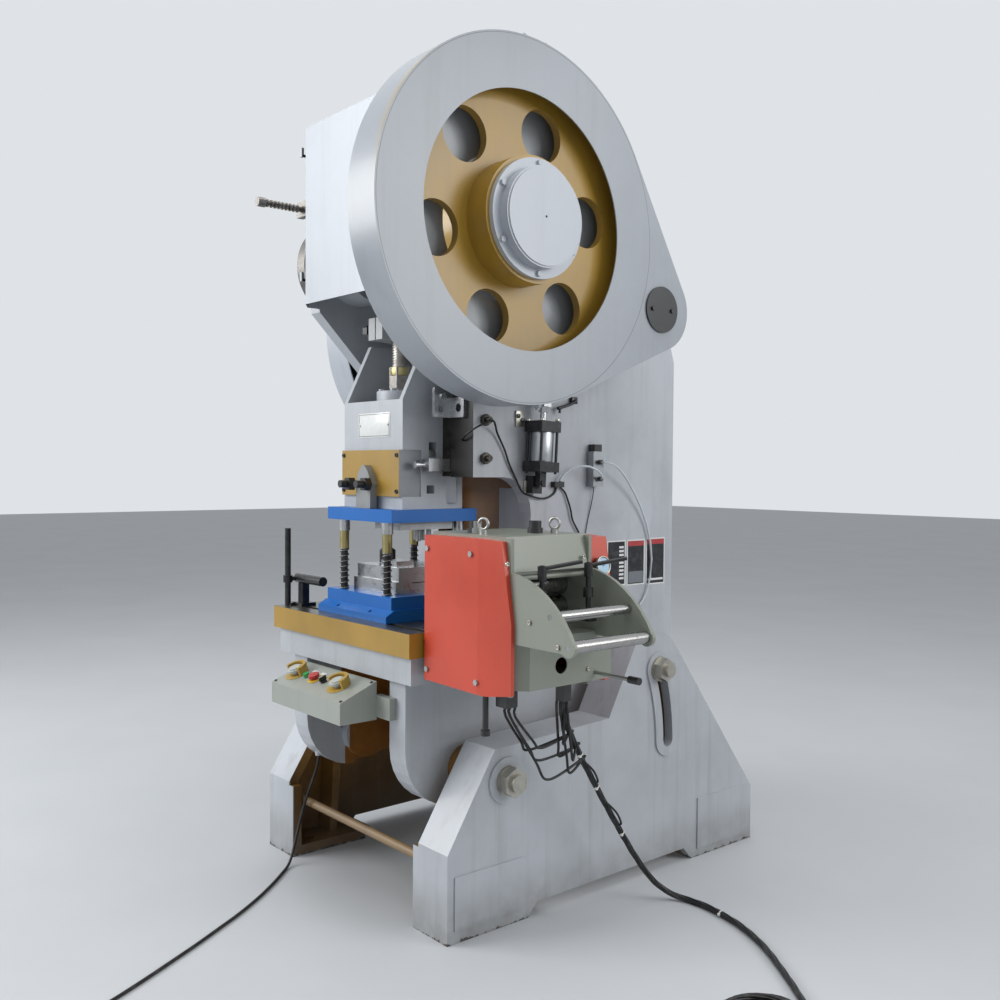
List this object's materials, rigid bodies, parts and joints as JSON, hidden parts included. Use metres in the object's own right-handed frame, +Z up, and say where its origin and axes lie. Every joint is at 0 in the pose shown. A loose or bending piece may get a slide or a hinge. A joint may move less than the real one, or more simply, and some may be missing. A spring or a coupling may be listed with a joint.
{
  "type": "mechanical stamping press",
  "caption": "Open-back inclinable C-frame power press with an open gear drive, a strip feeder on its right end and a guided die set on its bolster.",
  "frame": {"origin": "on the floor at the centre of the four foundation bolts", "axes": "+X to the right as the operator faces the press, +Y from the front to the back, +Z up"},
  "size_m": [2.2562, 2.5019, 2.7749],
  "materials": {
    "frame_paint": "semi-gloss enamel",
    "ochre_paint": "semi-gloss enamel",
    "feeder_paint": "satin powder coat",
    "orange_paint": "satin powder coat",
    "die_paint": "semi-gloss enamel",
    "motor_paint": "semi-gloss enamel",
    "ground_steel": "ground",
    "cast_steel": "as cast",
    "oiled_steel": "oiled",
    "rod_steel": "rust-proofed",
    "bronze": "machined",
    "cage_brass": "satin",
    "black_oxide": "matt black",
    "belt_rubber": "matt",
    "black_plastic": "matt",
    "green_plastic": "gloss",
    "red_plastic": "gloss",
    "cable_sheath": "matt",
    "cylinder_black": "anodised"
  },
  "bodies": {
    "legs": {"leg_right": "frame_paint", "leg_left": "frame_paint", "tie_rods": "rod_steel", "pivot_bolts": "ground_steel", "feeder_cable": "cable_sheath", "feeder_coil": "cable_sheath", "control_cable": "cable_sheath", "control_coil": "cable_sheath", "cable_plugs": "black_plastic"},
    "body": {"body_frame": "frame_paint", "bolster": "ochre_paint", "gibs": "oiled_steel", "lock_bolts": "ground_steel", "bearings": "bronze", "crank_cover": "frame_paint", "gear_guard": "frame_paint", "flywheel_guard": "frame_paint", "band_brake": "black_oxide", "motor": "motor_paint", "drive_belts": "belt_rubber", "stop_brackets": "ground_steel", "control_box": "frame_paint", "air_cylinder": "cylinder_black", "air_valve": "cylinder_black", "lower_shoe": "die_paint", "guide_posts": "ground_steel", "die_block": "ground_steel", "sensor_post": "black_oxide", "feeder_frame": "feeder_paint", "feeder_covers": "orange_paint", "feeder_fittings": "black_oxide", "crankshaft": "oiled_steel", "rod_cap": "frame_paint", "post_springs": "ground_steel"},
    "slide": {"ram": "frame_paint", "shank_clamp": "ochre_paint", "connecting_rod": "frame_paint", "ball_screw": "ground_steel", "screw_cap": "oiled_steel", "upper_shoe": "die_paint", "post_sleeves": "ground_steel"},
    "knockout": {"knockout_bar": "ground_steel"},
    "cages": {"ball_cages": "cage_brass"},
    "gear": {"gear_wheel": "ochre_paint", "hub_cap": "frame_paint"},
    "drive_shaft": {"pinion_shaft": "oiled_steel", "flywheel": "ochre_paint"},
    "motor_rotor": {"motor_pulley": "oiled_steel"},
    "palm_left": {"palm_button_left": "black_plastic"},
    "palm_right": {"palm_button_right": "black_plastic"},
    "start": {"start_button": "green_plastic"},
    "stop": {"stop_button": "red_plastic"},
    "selector": {"selector_switch": "black_plastic"},
    "clutch_rod": {"cylinder_rod": "ground_steel"},
    "lower_roll": {"lower_feed_roll": "ground_steel"},
    "upper_roll": {"upper_feed_roll": "ground_steel"},
    "end_roll": {"end_roller": "ground_steel"},
    "entry_roll": {"entry_roller": "ground_steel"},
    "near_guide": {"guide_near": "black_oxide"},
    "far_guide": {"guide_far": "black_oxide"}
  },
  "joints": [
    {"name": "body_tilt", "type": "hinge", "parent": "legs", "child": "body", "pos_m": [0, -0.517, 0.465], "axis": [-1, 0, 0], "range_deg": [0, 20]},
    {"name": "slide_stroke", "type": "slide", "parent": "body", "child": "slide", "axis": [0, 0, -1], "range_m": [0, 0.1]},
    {"name": "cage_travel", "type": "slide", "parent": "body", "child": "cages", "axis": [0, 0, -1], "range_m": [0, 0.05], "deforming": ["post_springs"]},
    {"name": "knockout_lift", "type": "slide", "parent": "slide", "child": "knockout", "axis": [0, 0, 1], "range_m": [0, 0.02]},
    {"name": "gear_spin", "type": "hinge", "parent": "body", "child": "gear", "pos_m": [0, -0.534, 2.19], "axis": [1, 0, 0], "continuous": true},
    {"name": "drive_shaft_spin", "type": "hinge", "parent": "body", "child": "drive_shaft", "pos_m": [0, 0.07293, 1.98693], "axis": [1, 0, 0], "continuous": true},
    {"name": "motor_spin", "type": "hinge", "parent": "body", "child": "motor_rotor", "pos_m": [0, 0.20293, 2.59693], "axis": [1, 0, 0], "continuous": true},
    {"name": "left_palm_press", "type": "slide", "parent": "body", "child": "palm_left", "axis": [0, 0.373, -0.9278], "range_m": [0, 0.004], "stiffness_N_per_m": 500, "springref_m": -0.012},
    {"name": "right_palm_press", "type": "slide", "parent": "body", "child": "palm_right", "axis": [0, 0.373, -0.9278], "range_m": [0, 0.004], "stiffness_N_per_m": 500, "springref_m": -0.012},
    {"name": "start_press", "type": "slide", "parent": "body", "child": "start", "axis": [0, 0.373, -0.9278], "range_m": [0, 0.003], "stiffness_N_per_m": 400, "springref_m": -0.006},
    {"name": "stop_press", "type": "slide", "parent": "body", "child": "stop", "axis": [0, 0.373, -0.9278], "range_m": [0, 0.004]},
    {"name": "selector_turn", "type": "hinge", "parent": "body", "child": "selector", "pos_m": [0.012, -0.8532, 0.72886], "axis": [0, -0.373, 0.9278], "range_deg": [-45, 45]},
    {"name": "clutch_rod_stroke", "type": "slide", "parent": "body", "child": "clutch_rod", "axis": [0, -0.0523, -0.9986], "range_m": [0, 0.025]},
    {"name": "lower_roll_spin", "type": "hinge", "parent": "body", "child": "lower_roll", "pos_m": [0.69, -0.564, 1.021], "axis": [0, 1, 0], "continuous": true},
    {"name": "upper_roll_spin", "type": "hinge", "parent": "body", "child": "upper_roll", "pos_m": [0.69, -0.564, 1.0916], "axis": [0, 1, 0], "continuous": true},
    {"name": "end_roller_spin", "type": "hinge", "parent": "body", "child": "end_roll", "pos_m": [1.044, -0.564, 0.968], "axis": [0, 1, 0], "continuous": true},
    {"name": "entry_roller_spin", "type": "hinge", "parent": "body", "child": "entry_roll", "pos_m": [0.975, -0.564, 1.042], "axis": [0, 1, 0], "continuous": true},
    {"name": "near_guide_shift", "type": "slide", "parent": "body", "child": "near_guide", "axis": [0, 1, 0], "range_m": [-0.035, 0.045]},
    {"name": "far_guide_shift", "type": "slide", "parent": "body", "child": "far_guide", "axis": [0, -1, 0], "range_m": [-0.035, 0.045]}
  ],
  "couplings": [
    {"joint": "cage_travel", "follows": "slide_stroke", "ratio": 0.5},
    {"joint": "drive_shaft_spin", "follows": "gear_spin", "ratio": -4.5652},
    {"joint": "motor_spin", "follows": "gear_spin", "ratio": -22.826},
    {"joint": "upper_roll_spin", "follows": "lower_roll_spin", "ratio": -1}
  ]
}
